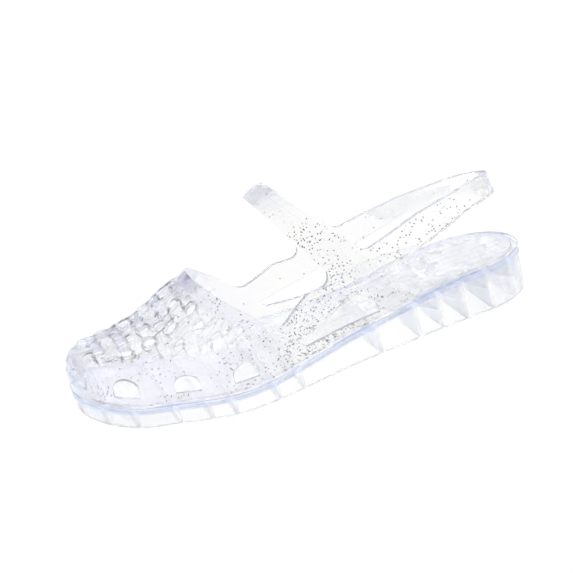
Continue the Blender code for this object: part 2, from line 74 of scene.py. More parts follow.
SoleRow = namedtuple("SoleRow", "along lateral medial rim")
HEEL_SHARE = HEEL_WIDTH / BALL_WIDTH
SOLE = [
    SoleRow(0.00, HEEL_SHARE, HEEL_SHARE, 1.00),
    SoleRow(0.13, HEEL_SHARE, HEEL_SHARE, 1.00),
    SoleRow(0.42, 0.770, 0.603, 0.49),
    SoleRow(0.68, 0.993, 1.000, 0.00),
    SoleRow(0.86, 0.805, 0.836, 0.00),
    SoleRow(1.00, 0.805, 0.836, 0.00),
]
LastRow = namedtuple("LastRow", "along crest side top")
LAST = [
    LastRow(0.000, 0.790, 2.0, 1.70),
    LastRow(0.240, 0.790, 2.0, 1.70),
    LastRow(0.330, 0.900, 2.0, 1.50),
    LastRow(0.400, 1.020, 2.1, 1.30),
    LastRow(0.510, 1.008, 2.3, 1.18),
    LastRow(0.554, 0.957, 2.3, 1.22),
    LastRow(0.640, 0.793, 2.2, 1.55),
    LastRow(0.708, 0.660, 2.2, 2.0),
    LastRow(0.772, 0.575, 2.3, 2.1),
    LastRow(0.820, 0.514, 2.4, 2.2),
    LastRow(0.868, 0.477, 2.5, 2.2),
    LastRow(0.912, 0.463, 2.5, 2.3),
    LastRow(0.972, 0.458, 2.5, 2.3),
    LastRow(0.990, 0.430, 2.5, 2.3),
    LastRow(1.000, 0.385, 2.5, 2.3),
]
EdgeRow = namedtuple("EdgeRow", "along height radius")
EDGE = [
    EdgeRow(1.050, 0.95, 0.0),
    EdgeRow(0.785, 0.95, 0.0),
    EdgeRow(0.700, 0.640, 1.5),
    EdgeRow(0.650, 0.513, 4.0),
    EdgeRow(0.581, 0.350, 0.8),
    EdgeRow(0.510, 0.458, 1.2),
    EdgeRow(0.440, 0.474, 0.7),
    EdgeRow(0.487, 0.690, 4.0),
    EdgeRow(0.554, 0.962, 0.0),
    EdgeRow(0.620, 1.220, 0.0),
    EdgeRow(0.564, 1.220, 0.0),
    EdgeRow(0.508, 1.006, 0.0),
    EdgeRow(0.410, 0.700, 4.0),
    EdgeRow(0.362, 0.560, 0.9),
    EdgeRow(0.220, 0.632, 4.0),
    EdgeRow(0.090, 0.668, 4.0),
    EdgeRow(-0.05, 0.671, 0.0),
    EdgeRow(-0.05, 0.562, 0.0),
    EdgeRow(0.110, 0.551, 4.0),
    EdgeRow(0.328, 0.424, 0.5),
    EdgeRow(0.314, 0.360, 0.5),
    EdgeRow(0.266, 0.170, 0.0),
    EdgeRow(0.266, -0.08, 0.0),
    EdgeRow(1.050, -0.08, 0.0),
]
WINDOW_TOP = [
    EdgeRow(0.550, 0.243, 0.0),
    EdgeRow(0.498, 0.294, 3.0),
    EdgeRow(0.402, 0.372, 0.6),
    EdgeRow(0.368, 0.290, 0.6),
    EdgeRow(0.366, 0.232, 0.5),
]
print("sole", LENGTH * 1000, "mm long,", BALL_WIDTH * 1000, "mm across the ball")

# %% [markdown]
# The camera stands on the shoe's outer side, a little towards the toe and 23 degrees up,
# as the photographer's did. The picture is also turned, so the toe points down to the
# left. A long lens keeps the straps from spreading. The camera comes first, because it
# decides which details are worth their faces.

# %% Camera
CAMERA_PLACE = Vector((0.1876, 0.7744, 0.3597))
CAMERA_AIM = Vector((0.0020, -0.0059, 0.0374))
CAMERA_LENS = 104.1
CAMERA_ROLL = 14.28

camera_data = bpy.data.cameras.new("camera")
camera_data.lens = CAMERA_LENS
camera_data.sensor_width = 36.0
camera_data.clip_start = 0.01
camera = bpy.data.objects.new("camera", camera_data)
bpy.context.scene.collection.objects.link(camera)
camera.location = CAMERA_PLACE
camera.rotation_mode = "QUATERNION"
straight = (CAMERA_AIM - CAMERA_PLACE).to_track_quat("-Z", "Y")
camera.rotation_quaternion = straight @ Quaternion((0, 0, 1), math.radians(-CAMERA_ROLL))
bpy.context.scene.camera = camera
print("camera", round((CAMERA_PLACE - CAMERA_AIM).length * 1000), "mm away")

# %% [markdown]
# Light crosses a dozen surfaces of clear plastic here, so the light paths are allowed to
# be long. The floor is plain and pale, and lit to white, as under the real shoe. Light
# that is aimed at can't reach through clear plastic, so floor and tent are found by the
# paths alone.

# %% Floor and light paths
FLOOR_SIZE = 30.0
FLOOR_DROP = 0.0001
FLOOR_PAINT = (0.06, 0.06, 0.06, 1)
FLOOR_GLOW = 0.965
LONG_PATHS = 40
GLOSS_PATHS = 12
DULL_PATHS = 3

scene = bpy.context.scene
scene.view_settings.view_transform = "Standard"
scene.view_settings.look = "None"
scene.cycles.max_bounces = LONG_PATHS
scene.cycles.transmission_bounces = LONG_PATHS
scene.cycles.glossy_bounces = GLOSS_PATHS
scene.cycles.transparent_max_bounces = LONG_PATHS
scene.cycles.diffuse_bounces = DULL_PATHS
scene.cycles.sample_clamp_indirect = 0.0
scene.cycles.blur_glossy = 0.0

bpy.ops.object.select_all(action="DESELECT")
bpy.ops.mesh.primitive_plane_add(size=FLOOR_SIZE, location=(0, 0, -FLOOR_DROP))
floor = bpy.context.object
floor.name = "floor"
pale = bpy.data.materials.new("pale_floor")
pale.use_nodes = True
paint = pale.node_tree.nodes["Principled BSDF"]
paint.inputs["Base Color"].default_value = FLOOR_PAINT
paint.inputs["Roughness"].default_value = 0.9
paint.inputs["Specular IOR Level"].default_value = 0.0
paint.inputs["Emission Color"].default_value = (1.0, 1.0, 1.0, 1)
paint.inputs["Emission Strength"].default_value = FLOOR_GLOW
pale.cycles.emission_sampling = "NONE"
floor.data.materials.append(pale)
print("floor", FLOOR_SIZE, "m across, light paths of up to", LONG_PATHS, "steps")

# %% [markdown]
# Clear plastic has hardly any colour of its own. What shows it is what it bends and
# mirrors, so the light matters more than on a solid thing. The sky here is a studio tent:
# bright above, greyer near the floor, which draws the thin grey lines along the edges.
# The camera itself sees plain white behind the shoe.

# %% Studio tent
world = bpy.data.worlds.new("studio tent")
scene.world = world
world.cycles.sampling_method = "NONE"
world.use_nodes = True
tent = world.node_tree
tent.nodes.clear()
place = tent.nodes.new("ShaderNodeTexCoord")
split = tent.nodes.new("ShaderNodeSeparateXYZ")
tent.links.new(place.outputs["Generated"], split.inputs[0])
ramp = tent.nodes.new("ShaderNodeValToRGB")
ramp.color_ramp.elements[0].position = 0.0
ramp.color_ramp.elements[0].color = (0.50, 0.50, 0.57, 1)
ramp.color_ramp.elements[1].position = 0.30
ramp.color_ramp.elements[1].color = (1.0, 1.0, 1.0, 1)
middle = ramp.color_ramp.elements.new(0.14)
middle.color = (0.74, 0.74, 0.79, 1)
high = ramp.color_ramp.elements.new(0.80)
high.color = (0.96, 0.96, 0.96, 1)
tent.links.new(split.outputs["Z"], ramp.inputs[0])
glow = tent.nodes.new("ShaderNodeBackground")
glow.inputs["Strength"].default_value = 1.0
tent.links.new(ramp.outputs[0], glow.inputs["Color"])
plain = tent.nodes.new("ShaderNodeBackground")
plain.inputs["Color"].default_value = (1, 1, 1, 1)
plain.inputs["Strength"].default_value = 1.0
seen = tent.nodes.new("ShaderNodeLightPath")
pick = tent.nodes.new("ShaderNodeMixShader")
tent.links.new(seen.outputs["Is Camera Ray"], pick.inputs[0])
tent.links.new(glow.outputs[0], pick.inputs[1])
tent.links.new(plain.outputs[0], pick.inputs[2])
out = tent.nodes.new("ShaderNodeOutputWorld")
tent.links.new(pick.outputs[0], out.inputs["Surface"])
print("studio tent, with the lit floor the only light")

# %% [markdown]
# Materials are wired by hand in Blender, one node at a time. Here a small bench does it:
# a Wire is one output socket, and Python's own operators on it add Math nodes, so that
# an expression reads as on paper. Any other node comes from one method of the bench.


# %% Shader bench
class Wire:
    """One output socket of a material, with arithmetic on it."""

    def __init__(self, bench, socket):
        self.bench = bench
        self.socket = socket

    def math(self, operation, *others, clamp=False):
        settings = {"operation": operation, "use_clamp": clamp}
        return self.bench.add("ShaderNodeMath", settings, dict(enumerate((self, *others))))

    def __add__(self, other):
        return self.math("ADD", other)

    def __mul__(self, other):
        return self.math("MULTIPLY", other)

    def __sub__(self, other):
        return self.math("SUBTRACT", other)

    def __rsub__(self, other):
        return self.bench.add("ShaderNodeMath", {"operation": "SUBTRACT"}, {0: other, 1: self})

    def __lt__(self, other):
        return self.math("LESS_THAN", other)

    def __gt__(self, other):
        return self.math("GREATER_THAN", other)

    __radd__ = __add__
    __rmul__ = __mul__


class Bench:
    """A material and the nodes in it."""

    def __init__(self, name):
        self.material = bpy.data.materials.new(name)
        self.material.use_nodes = True
        self.tree = self.material.node_tree
        self.tree.nodes.clear()

    def add(self, kind, settings=None, values=None, output=0):
        """Adds a node: its settings first, then a value or a wire for each named socket."""
        node = self.tree.nodes.new(kind)
        for name, value in (settings or {}).items():
            setattr(node, name, value)
        for name, value in (values or {}).items():
            if isinstance(value, Wire):
                self.tree.links.new(value.socket, node.inputs[name])
            else:
                node.inputs[name].default_value = value
        return Wire(self, node.outputs[output]) if node.outputs else node

    def place(self):
        return self.add("ShaderNodeTexCoord", output="Object")

    def step(self, wire, low, high):
        """0 below low, 1 above high and smooth between them."""
        return self.add("ShaderNodeMapRange", {"interpolation_type": "SMOOTHSTEP"},
                        {"Value": wire, "From Min": low, "From Max": high})

    def axes(self, where, names="XYZ"):
        """The numbers of a place, one wire for each letter."""
        return [self.add("ShaderNodeSeparateXYZ", None, {0: where}, axis) for axis in names]

    def pair(self, name):
        """Both numbers of a UV map."""
        return self.axes(self.add("ShaderNodeUVMap", {"uv_map": name}), "XY")

    def mark(self, name):
        """1 on the faces that were marked with a name."""
        return self.add("ShaderNodeAttribute", {"attribute_name": name}, output="Fac")

    def blend(self, share, one, other):
        """A colour between two, the second where share is 1."""
        return self.add("ShaderNodeMix", {"data_type": "RGBA"}, {0: share, 6: one, 7: other}, 2)

    def noise(self, where, scale, detail=2.0):
        values = {"Vector": where, "Scale": scale, "Detail": detail}
        return self.add("ShaderNodeTexNoise", None, values)


print("bench ready")

# %% [markdown]
# Soft vinyl is clear with a faint blue in it, so a wall of 2 mm looks colourless. A Volume
# Absorption shader gives that: it takes a little red and green for every millimetre of the
# way. The surface is a Principled shader with full transmission. Part of the light goes
# straight on, by Alpha, since many walls that bend all of it drew dark blocks and dashes
# that the shoe doesn't have. What this leaves out, such as the blue rim, is painted.

# %% Clear vinyl
UPPER_BENDS_LIGHT = 1.46
SOLE_BENDS_LIGHT = 1.36
VINYL_KEEPS = (0.70, 0.79, 1.0, 1.0)
UPPER_DENSITY = 14.0
SOLE_DENSITY = 5.0
SLANT_BLEND = 0.35
WAVE_HEIGHT = 0.00008
WAVES_A_METRE = 90.0
SMEARS_A_METRE = 60.0
SMEAR_ROUGHNESS = 0.05
LEAST_ROUGHNESS = 0.01


def slanted(bench, own_colour, slant_shade):
    """The vinyl's own colour, with painted shade blended in where the eye skims the surface."""
    slant = bench.add("ShaderNodeLayerWeight", None, {"Blend": SLANT_BLEND}, "Facing")
    return bench.blend(slant * slant * slant, own_colour, slant_shade)


def clear_vinyl(bench, colour, bends, density, body, dents=None, haze=0.0, glow=0.0):
    """Finishes a material: gloss, slow waves from the mould, and the clear inside.

    body is the share of light that the wall bends, and the rest goes straight on. glow is
    painted light: a little light of its own, for a face that came out too grey.
    """
    where = bench.place()
    height = bench.noise(where, WAVES_A_METRE) * WAVE_HEIGHT
    if dents:
        height = height + dents
    bump = bench.add("ShaderNodeBump", None, {"Strength": 1.0, "Distance": 1.0, "Height": height})
    rough = bench.noise(where, SMEARS_A_METRE) * SMEAR_ROUGHNESS + LEAST_ROUGHNESS + haze
    surface = bench.add("ShaderNodeBsdfPrincipled", None, {
        "Base Color": colour, "Roughness": rough, "Normal": bump, "Alpha": body,
        "IOR": bends, "Transmission Weight": 1.0,
        "Emission Color": (1.0, 1.0, 1.0, 1.0), "Emission Strength": glow})
    bench.material.cycles.emission_sampling = "NONE"
    inside = bench.add("ShaderNodeVolumeAbsorption", None,
                       {"Color": VINYL_KEEPS, "Density": density})
    bench.add("ShaderNodeOutputMaterial", None, {"Surface": surface, "Volume": inside})
    return bench.material


print("ready for clear vinyl")

# %% [markdown]
# Fine dark flecks of glitter are mixed into the upper's vinyl. Modelling thousands of them
# would cost many faces, so each is a round spot in a cell of a Voronoi pattern, and the
# cell's own random number says whether it holds one. That lets a map of the shoe set how
# many there are: most on the outer side behind the cap, in drifts. Each pair of numbers
# is where such a change starts and ends, in metres.

# %% Glitter
FLECK_RADIUS = 0.00038
FLECK_SPACING = 0.0016
FLECK_COLOUR = (0.020, 0.020, 0.024, 1.0)
TO_OUTER_SIDE = (0.009, 0.022)
TO_CAP = (0.030, 0.060)
UP_THE_WALL = (0.028, 0.036)
UP_THE_STRAP = (0.070, 0.082)
DRIFTS_A_METRE = 45.0
DRIFT_EDGE = (0.40, 0.58)
DRIFT_SHARE = 0.80
FLECKS_BEHIND_CAP = 0.62
FLECKS_LOW = 0.42
FLECKS_ELSEWHERE = 0.06
FLECKS_INNER = 0.03


def flecks(bench, where, crowd):
    """1 in a fleck of glitter. crowd is the share of places that hold one."""
    cells, kinds = (
        bench.add("ShaderNodeTexVoronoi", {"feature": "F1"},
                  {"Vector": where, "Scale": 1 / FLECK_SPACING, "Randomness": 1.0}, output)
        for output in ("Distance", "Color"))
    lot = bench.add("ShaderNodeSeparateColor", None, {0: kinds}, "Red")
    return (cells < FLECK_RADIUS / FLECK_SPACING) * (lot < crowd)


def crowd_on_upper(bench, where):
    """Flecks are many on the outer side, fewer on the inner one and on the toe cap."""
    x, y, z = bench.axes(where)
    outer = bench.step(y, *TO_OUTER_SIDE)
    behind_cap = 1 - bench.step(x, *TO_CAP)
    low = 1 - bench.step(z, *UP_THE_WALL)
    below_crest = 1 - bench.step(z, *UP_THE_STRAP)
    drift = bench.step(bench.noise(where, DRIFTS_A_METRE, 1.0), *DRIFT_EDGE)
    many = behind_cap * FLECKS_BEHIND_CAP + low * FLECKS_LOW + FLECKS_ELSEWHERE
    return outer * below_crest * many * (drift * DRIFT_SHARE + (1 - DRIFT_SHARE)) + FLECKS_INNER


print("places for glitter are about", FLECK_SPACING * 1000, "mm apart")

# %% [markdown]
# On the cap, the shape of the wall draws dark strokes: where one woven strip stands over
# its neighbour, and in a ring round each gap, where the wall bends down into it. In the
# render bent light alone shows too little of them, so they are painted. A UV map holds
# the weave's own coordinates, counted in half cells, so the strokes follow the strips at
# any size. Noise on those coordinates makes them crooked, and more noise breaks them up.

# %% Strokes of the weave
STRIP_HALF_GIRTH = 0.62
STRIP_HALF_LENGTH = 0.60
STROKE_HALF_WIDTH = 0.08
GAP_HALF_LENGTH = 0.49
GAP_HALF_GIRTH = 0.47
GAP_SQUARENESS = 3
RIM_REACH = 1.18
RIM_HALF_WIDTH = 0.13
STROKE_SWAY = 0.45
SWAYS_A_METRE = (330.0, 270.0)
BREAKS_A_METRE = 260.0
BREAK_EDGE = (0.42, 0.49)
FROM_CREST = (2.5, 6.0)
TO_TOE = (5.0, 9.0)
PALEST_STROKE = 0.35
STROKE_COLOUR = (0.025, 0.025, 0.05, 1.0)


def thin_line(bench, distance, half_width):
    """1 on a line, from the distance to its middle."""
    return 1 - bench.step(distance, half_width / 2, half_width)


def weave_strokes(bench, u, v):
    """1 along the edges of the strip that is on top."""
    quarter = math.pi / 2
    row = ((v - 1) * 0.5).math("ROUND") * 2 + 1
    column = (u * 0.5).math("ROUND") * 2
    lengthways = (u * quarter + (row - 1) * quarter).math("COSINE")
    crosswise = ((v - 1) * quarter + (column + 2) * quarter).math("COSINE")
    on_top = lengthways > crosswise
    row_edge = ((v - row).math("ABSOLUTE") - STRIP_HALF_GIRTH).math("ABSOLUTE")
    column_edge = ((u - column).math("ABSOLUTE") - STRIP_HALF_LENGTH).math("ABSOLUTE")
    return (thin_line(bench, row_edge, STROKE_HALF_WIDTH) * on_top
            + thin_line(bench, column_edge, STROKE_HALF_WIDTH) * (1 - on_top))


def gap_rims(bench, u, v):
    """1 on a ring round each gap, where the wall bends down into it."""
    column = ((u - 1) * 0.5).math("ROUND") * 2 + 1
    row = (v * 0.5).math("ROUND") * 2
    along = (u - column).math("ABSOLUTE") * (1 / GAP_HALF_LENGTH)
    across = (v - row).math("ABSOLUTE") * (1 / GAP_HALF_GIRTH)
    both = along.math("POWER", GAP_SQUARENESS) + across.math("POWER", GAP_SQUARENESS)
    reach = both.math("POWER", 1 / GAP_SQUARENESS)
    return thin_line(bench, (reach - RIM_REACH).math("ABSOLUTE"), RIM_HALF_WIDTH)


def strokes_on_cap(bench, where, u, v):
    """Crooked, broken strokes, darkest near the crest and the toe."""
    broken = bench.step(bench.noise(where, BREAKS_A_METRE, 1.0), *BREAK_EDGE)
    swayed_u, swayed_v = (
        number + (bench.noise(where, sways, 1.0) - 0.5) * STROKE_SWAY
        for number, sways in zip((u, v), SWAYS_A_METRE))
    near_crest = 1 - bench.step(v.math("ABSOLUTE"), *FROM_CREST)
    near = near_crest.math("MAXIMUM", bench.step(u, *TO_TOE))
    dark = near * (1 - PALEST_STROKE) + PALEST_STROKE
    rims = gap_rims(bench, swayed_u, swayed_v)
    return weave_strokes(bench, swayed_u, swayed_v).math("MAXIMUM", rims) * broken * dark


print("strokes", STROKE_HALF_WIDTH * 2, "half cells wide")

# %% [markdown]
# The rest of the upper's look comes in layers, one Mix node over another: painted shade
# that makes the toe wall cooler, painted shade on the strap's end, painted lavender shade
# on the collar's crown with a darker painted spot, painted grey shade on cut edges, the
# strokes, the dark line at the back of the heel strap and the flecks. Faces made by a
# cutter keep the cutter's own UV numbers, which are zero or far off, so the material knows
# each kind of cut and paints its own shade on the faces of edges, gaps and windows. The
# straps and the weave bend less of the light than the wall does, so the grey patches that
# it leaves on them are fainter.

# %% Upper vinyl
FAR_OFF = 100.0
ALMOST_ZERO = 0.0005
UPPER_BODY = 0.70
STRAP_BODY = 0.50
WEAVE_BODY = 0.50
UP_TO_STRAPS = (0.040, 0.055)
FRONT_OF_STRAPS = (-0.020, 0.000)
TO_TOE_WALL = (0.000, 0.050)
TO_STRAP_END = (0.080, 0.097)
STRAP_END_SHARE = 0.5
CROWN = (0.0500, 0.0, 0.0610)
ROUND_CROWN = (0.005, 0.016)
CROWN_SHARE = 0.6
ROUND_SPOT = (0.0024, 0.0046)
SPOT_SHARE = 0.8
HEEL_STRAP_BACK = -0.112
FROM_BACK_LINE = (0.0010, 0.0030)
BACK_SHARE = 0.8
UPPER_COLOUR = (0.970, 0.966, 0.948, 1.0)
# Painted shade: a cooler tone on the toe wall.
TOE_WALL_SHADE = (0.890, 0.890, 0.945, 1.0)
# Painted shade where the eye skims the wall.
UPPER_SLANT_SHADE = (0.60, 0.61, 0.74, 1.0)
# Painted shade on the strap's end, and lavender painted shade on the collar's crown.
STRAP_END_SHADE = (0.76, 0.79, 0.91, 1.0)
CROWN_SHADE = (0.50, 0.50, 0.68, 1.0)
# Painted shade on the faces that cutters leave: cut edges, and the walls of the gaps and the
# windows.
CUT_EDGE_SHADE = (0.66, 0.67, 0.78, 1.0)
GAP_WALL_SHADE = (0.80, 0.80, 0.88, 1.0)
WINDOW_WALL_SHADE = (0.74, 0.80, 0.95, 1.0)
BACK_COLOUR = (0.22, 0.22, 0.32, 1.0)


def make_upper_vinyl():
    bench = Bench("clear_vinyl_with_glitter")
    where = bench.place()
    x, y, z = bench.axes(where)
    u, v = bench.pair("weave")
    share = bench.pair("weave_share")[0]
    is_edge = (u.math("ABSOLUTE") + v.math("ABSOLUTE")) < ALMOST_ZERO
    is_gap = u > FAR_OFF / 2
    is_window = v > FAR_OFF / 2
    strokes = strokes_on_cap(bench, where, u, v) * share

    # Painted shade on the collar's crown, with a darker painted spot in its middle.
    from_crown = bench.add("ShaderNodeVectorMath", {"operation": "DISTANCE"},
                           {0: where, 1: CROWN}, "Value")
    crown = 1 - bench.step(from_crown, *ROUND_CROWN)
    crown_shadow_spot = (1 - bench.step(from_crown, *ROUND_SPOT)) * SPOT_SHARE
    back_line = 1 - bench.step(y.math("ABSOLUTE"), *FROM_BACK_LINE)
    heel_back = back_line * (x < HEEL_STRAP_BACK) * BACK_SHARE

    specks = flecks(bench, where, crowd_on_upper(bench, where))
    # Painted shade makes the toe wall cooler than the cap.
    toe_wall = bench.step(x, *TO_TOE_WALL) * (1 - share)
    own = bench.blend(toe_wall, UPPER_COLOUR, TOE_WALL_SHADE)
    colour = slanted(bench, own, UPPER_SLANT_SHADE)
    # All but the last two layers are painted shade; the last are the dark back line and the
    # glitter.
    layers = (
        (bench.step(z, *TO_STRAP_END) * STRAP_END_SHARE, STRAP_END_SHADE),
        (crown * CROWN_SHARE, CROWN_SHADE),
        (is_edge, CUT_EDGE_SHADE),
        (is_gap, GAP_WALL_SHADE),
        (is_window, WINDOW_WALL_SHADE),
        (strokes.math("MAXIMUM", crown_shadow_spot), STROKE_COLOUR),
        (heel_back, BACK_COLOUR),
        (specks, FLECK_COLOUR))
    for cover, tint in layers:
        colour = bench.blend(cover, colour, tint)

    solid = (strokes + specks + is_edge + is_window + crown + heel_back).math("MINIMUM", 1.0)
    on_straps = bench.step(z, *UP_TO_STRAPS) * (1 - bench.step(x, *FRONT_OF_STRAPS))
    plain_body = (UPPER_BODY - share * (UPPER_BODY - WEAVE_BODY)
                  - on_straps * (UPPER_BODY - STRAP_BODY))
    body = solid * (1 - plain_body) + plain_body
    return clear_vinyl(bench, colour, UPPER_BENDS_LIGHT, UPPER_DENSITY, body)


upper_vinyl = make_upper_vinyl()
print("clear vinyl with glitter")

# %% [markdown]
# The outsole has no glitter. Its rim looks blue, because light runs along inside the plate,
# and its ribs look grey where they stand across the view. Bent light alone gives too
# little of both, so the faces of the rim, the ribs and the deck are marked on the mesh
# further down, and the material reads those marks.

# %% Sole vinyl
SOLE_BODY = 0.62
TO_SOLE_END = (0.050, 0.100)
SOLE_COLOUR = (0.982, 0.982, 0.982, 1.0)
# Painted shade: the sole is greyer towards the heel and the toe, off the deck.
SOLE_END_SHADE = (0.880, 0.885, 0.910, 1.0)
# Painted shade where the eye skims the sole.
SOLE_SLANT_SHADE = (0.84, 0.86, 0.94, 1.0)
BAND_COLOUR = (0.65, 0.71, 0.91, 1.0)
RIB_COLOUR = (0.72, 0.77, 0.86, 1.0)


def make_sole_vinyl():
    bench = Bench("clear_vinyl_sole")
    band = bench.mark("band")
    x = bench.axes(bench.place(), "X")[0]
    # Painted shade towards the heel and the toe, not on the deck.
    at_ends = bench.step(x.math("ABSOLUTE"), *TO_SOLE_END) * (1 - bench.mark("deck"))
    own = bench.blend(at_ends, SOLE_COLOUR, SOLE_END_SHADE)
    colour = slanted(bench, own, SOLE_SLANT_SHADE)
    colour = bench.blend(band, colour, BAND_COLOUR)
    colour = bench.blend(bench.mark("rib"), colour, RIB_COLOUR)
    body = band * (1 - SOLE_BODY) + SOLE_BODY
    return clear_vinyl(bench, colour, SOLE_BENDS_LIGHT, SOLE_DENSITY, body)


sole_vinyl = make_sole_vinyl()
print("clear vinyl without glitter")

# %% [markdown]
# The footbed is the same vinyl with an embossed grip under the foot: rows of small scales,
# like bricks, a little crooked and clearest at the heel. On a part this flat the relief is
# cheaper as bump than as faces, and the grooves between the scales get painted blue-grey
# shade. The top face is also a little rough, so that the ribs under it blur. It came out
# too grey that way, so the top face is painted pure white, without the grazing shade, and
# the whole footbed has a faint glow: painted light that stands in for light scattered in
# the vinyl.

# %% Footbed vinyl
FOOTBED_BENDS_LIGHT = 1.30
SCALE_LENGTH = 0.0085
SCALE_WIDTH = 0.0060
SCALES_SHRINK = 10.0
SCALE_DEPTH = 0.00010
SCALE_SWAY = 0.0026
SCALE_SWAYS_A_METRE = 190.0
GROOVE_SHARE = 0.09
GROOVE_SOFTNESS = 0.5
PATCHES_A_METRE = 160.0
PATCH_EDGE = (0.38, 0.62)
PATCH_SHARE = 0.85
LEAST_GROOVE = 0.05
TO_FOREFOOT = (-0.040, 0.000)
FOREFOOT_LOSES = 0.9
SEAT_HAZE = 0.24
SEAT_BODY = 0.68
SEAT_DENSITY = 2.0
# Painted light: a faint glow over the whole footbed.
SEAT_PAINTED_GLOW = 0.03
# Painted shade in the grooves between the scales.
GROOVE_SHADE = (0.60, 0.64, 0.84, 1.0)
SEAT_COLOUR = (1.0, 1.0, 1.0, 1.0)


def make_footbed_vinyl():
    """Embossed scales, from the grooves between bricks, on the top face alone."""
    bench = Bench("footbed_vinyl")
    where = bench.place()
    sway = bench.add("ShaderNodeTexNoise", None,
                     {"Vector": where, "Scale": SCALE_SWAYS_A_METRE}, "Color")
    swayed = bench.add("ShaderNodeVectorMath", {"operation": "MULTIPLY_ADD"},
                       {0: sway, 1: (SCALE_SWAY, SCALE_SWAY, 0.0), 2: where}, "Vector")
    bricks = bench.add("ShaderNodeTexBrick", {"offset": 0.5}, {
        "Vector": swayed, "Color1": (1, 1, 1, 1), "Color2": (1, 1, 1, 1),
        "Mortar": (0, 0, 0, 1), "Scale": SCALES_SHRINK,
        "Mortar Size": GROOVE_SHARE * SCALE_LENGTH * SCALES_SHRINK,
        "Mortar Smooth": GROOVE_SOFTNESS, "Brick Width": SCALE_LENGTH * SCALES_SHRINK,
        "Row Height": SCALE_WIDTH * SCALES_SHRINK}, "Fac")
    seat = bench.mark("seat")
    patchy = bench.step(bench.noise(where, PATCHES_A_METRE), *PATCH_EDGE)
    x = bench.axes(where, "X")[0]
    at_heel = 1 - bench.step(x, *TO_FOREFOOT) * FOREFOOT_LOSES
    grooves = bricks * seat * (patchy * PATCH_SHARE + LEAST_GROOVE) * at_heel
    colour = slanted(bench, SOLE_COLOUR, SOLE_SLANT_SHADE)
    # The top face is painted pure white, then painted shade goes in the grooves.
    colour = bench.blend(seat, colour, SEAT_COLOUR)
    colour = bench.blend(grooves, colour, GROOVE_SHADE)
    body = seat * (SEAT_BODY - SOLE_BODY) + SOLE_BODY
    return clear_vinyl(bench, colour, FOOTBED_BENDS_LIGHT, SEAT_DENSITY, body,
                       dents=grooves * -SCALE_DEPTH, haze=seat * SEAT_HAZE * at_heel,
                       glow=SEAT_PAINTED_GLOW)


footbed_vinyl = make_footbed_vinyl()
print("footbed vinyl")

# %% [markdown]
# A shoe is shaped over a last, a solid foot form. The upper is one sheet over that form:
# a flat grid whose rows run round the foot and whose columns run along it. Each column is
# a section of the last, from the rim up over the crest and down again. These curves are
# the same as in the part's source, with many more points, for a smooth gloss.


# %% Curves of the last
def through(table, name, at):
    """Smooth curve through a column of a table, with no overshoot."""
    x = np.array([row.along for row in table])
    y = np.array([getattr(row, name) for row in table])
    step = np.diff(x)
    slope = np.diff(y) / step
    tangent = np.concatenate([slope[:1], np.zeros(len(x) - 2), slope[-1:]])
    for i in range(1, len(x) - 1):
        if slope[i - 1] * slope[i] > 0:
            before = 2 * step[i] + step[i - 1]
            after = step[i] + 2 * step[i - 1]
            tangent[i] = (before + after) / (before / slope[i - 1] + after / slope[i])
    at = np.clip(np.asarray(at, float), x[0], x[-1])
    i = np.clip(np.searchsorted(x, at, side="right") - 1, 0, len(step) - 1)
    t = (at - x[i]) / step[i]
    rise = (3 - 2 * t) * t * t
    return (y[i] * (1 - rise) + y[i + 1] * rise
            + step[i] * t * (1 - t) * ((1 - t) * tangent[i] - t * tangent[i + 1]))


def keel(along):
    return TOE_SPRING * np.clip((np.asarray(along) - SPRING_START) / (1 - SPRING_START), 0, 1) ** 2


def rim(along):
    """Height of the rim that the upper stands on."""
    share = through(SOLE, "rim", along)
    return FOREFOOT_HEIGHT + (HEEL_HEIGHT - FOREFOOT_HEIGHT) * share + keel(along)


def end_round(along, heel_round, heel_power, side):
    """Share of the width that is left where the heel and the toe round off."""
    heel = np.clip(1 - along / heel_round, 0, 1) ** heel_power
    toe_power = 2.1 if side > 0 else 2.4
    toe = np.clip((along - TOE_ROUND) / (1 - TOE_ROUND), 0, 1) ** toe_power
    return np.sqrt(np.clip(1 - heel, 0, 1)) * np.sqrt(np.clip(1 - toe, 0, 1))


def column_of(side):
    return "lateral" if side > 0 else "medial"


def sole_half_width(side, along):
    width = HALF_BALL * through(SOLE, column_of(side), along)
    return width * end_round(along, HEEL_ROUND, 2.0, side)


def half_width_of_last(side, along, height):
    """Half width of the last at a height, given as a share from the rim to the crest."""
    rise = np.clip(height / SLING_LEVEL, 0, 1)
    heel_round = HEEL_ROUND + (SLING_ROUND - HEEL_ROUND) * rise
    width = HALF_BALL * through(SOLE, column_of(side), along) - UPPER_SET_IN
    fullness = through(LAST, "side", along)
    top = through(LAST, "top", along)
    section = np.clip(1 - height ** top, 0, 1) ** (1 / fullness)
    return width * end_round(along, heel_round, 2.0 - 0.4 * rise, side) * section


print("rim at the heel and the toe, mm:", [round(float(rim(a)) * 1000, 1) for a in (0, 1)])

# %% [markdown]
# The weave on the toe cap is moulded, not plaited: strips 6 mm wide along the foot and
# across it, over and under each other, with a gap in each cell. Counting in half cells
# from the middle line keeps the gaps and the crossings on whole numbers. The grid gets
# nine faces to each half cell, which is fine enough for the strips' round backs, and its
# columns crowd together where the heel and the toe round off.

# %% Columns of the grid
WEAVE_BACK = 0.662
WEAVE_FRONT = 0.956
WEAVE_COLUMNS = 12
FACES_A_CELL = 9
HEEL_PART = 0.20
HEEL_FACES = 30
STRAP_FACES = 84
TOE_FACES = 12


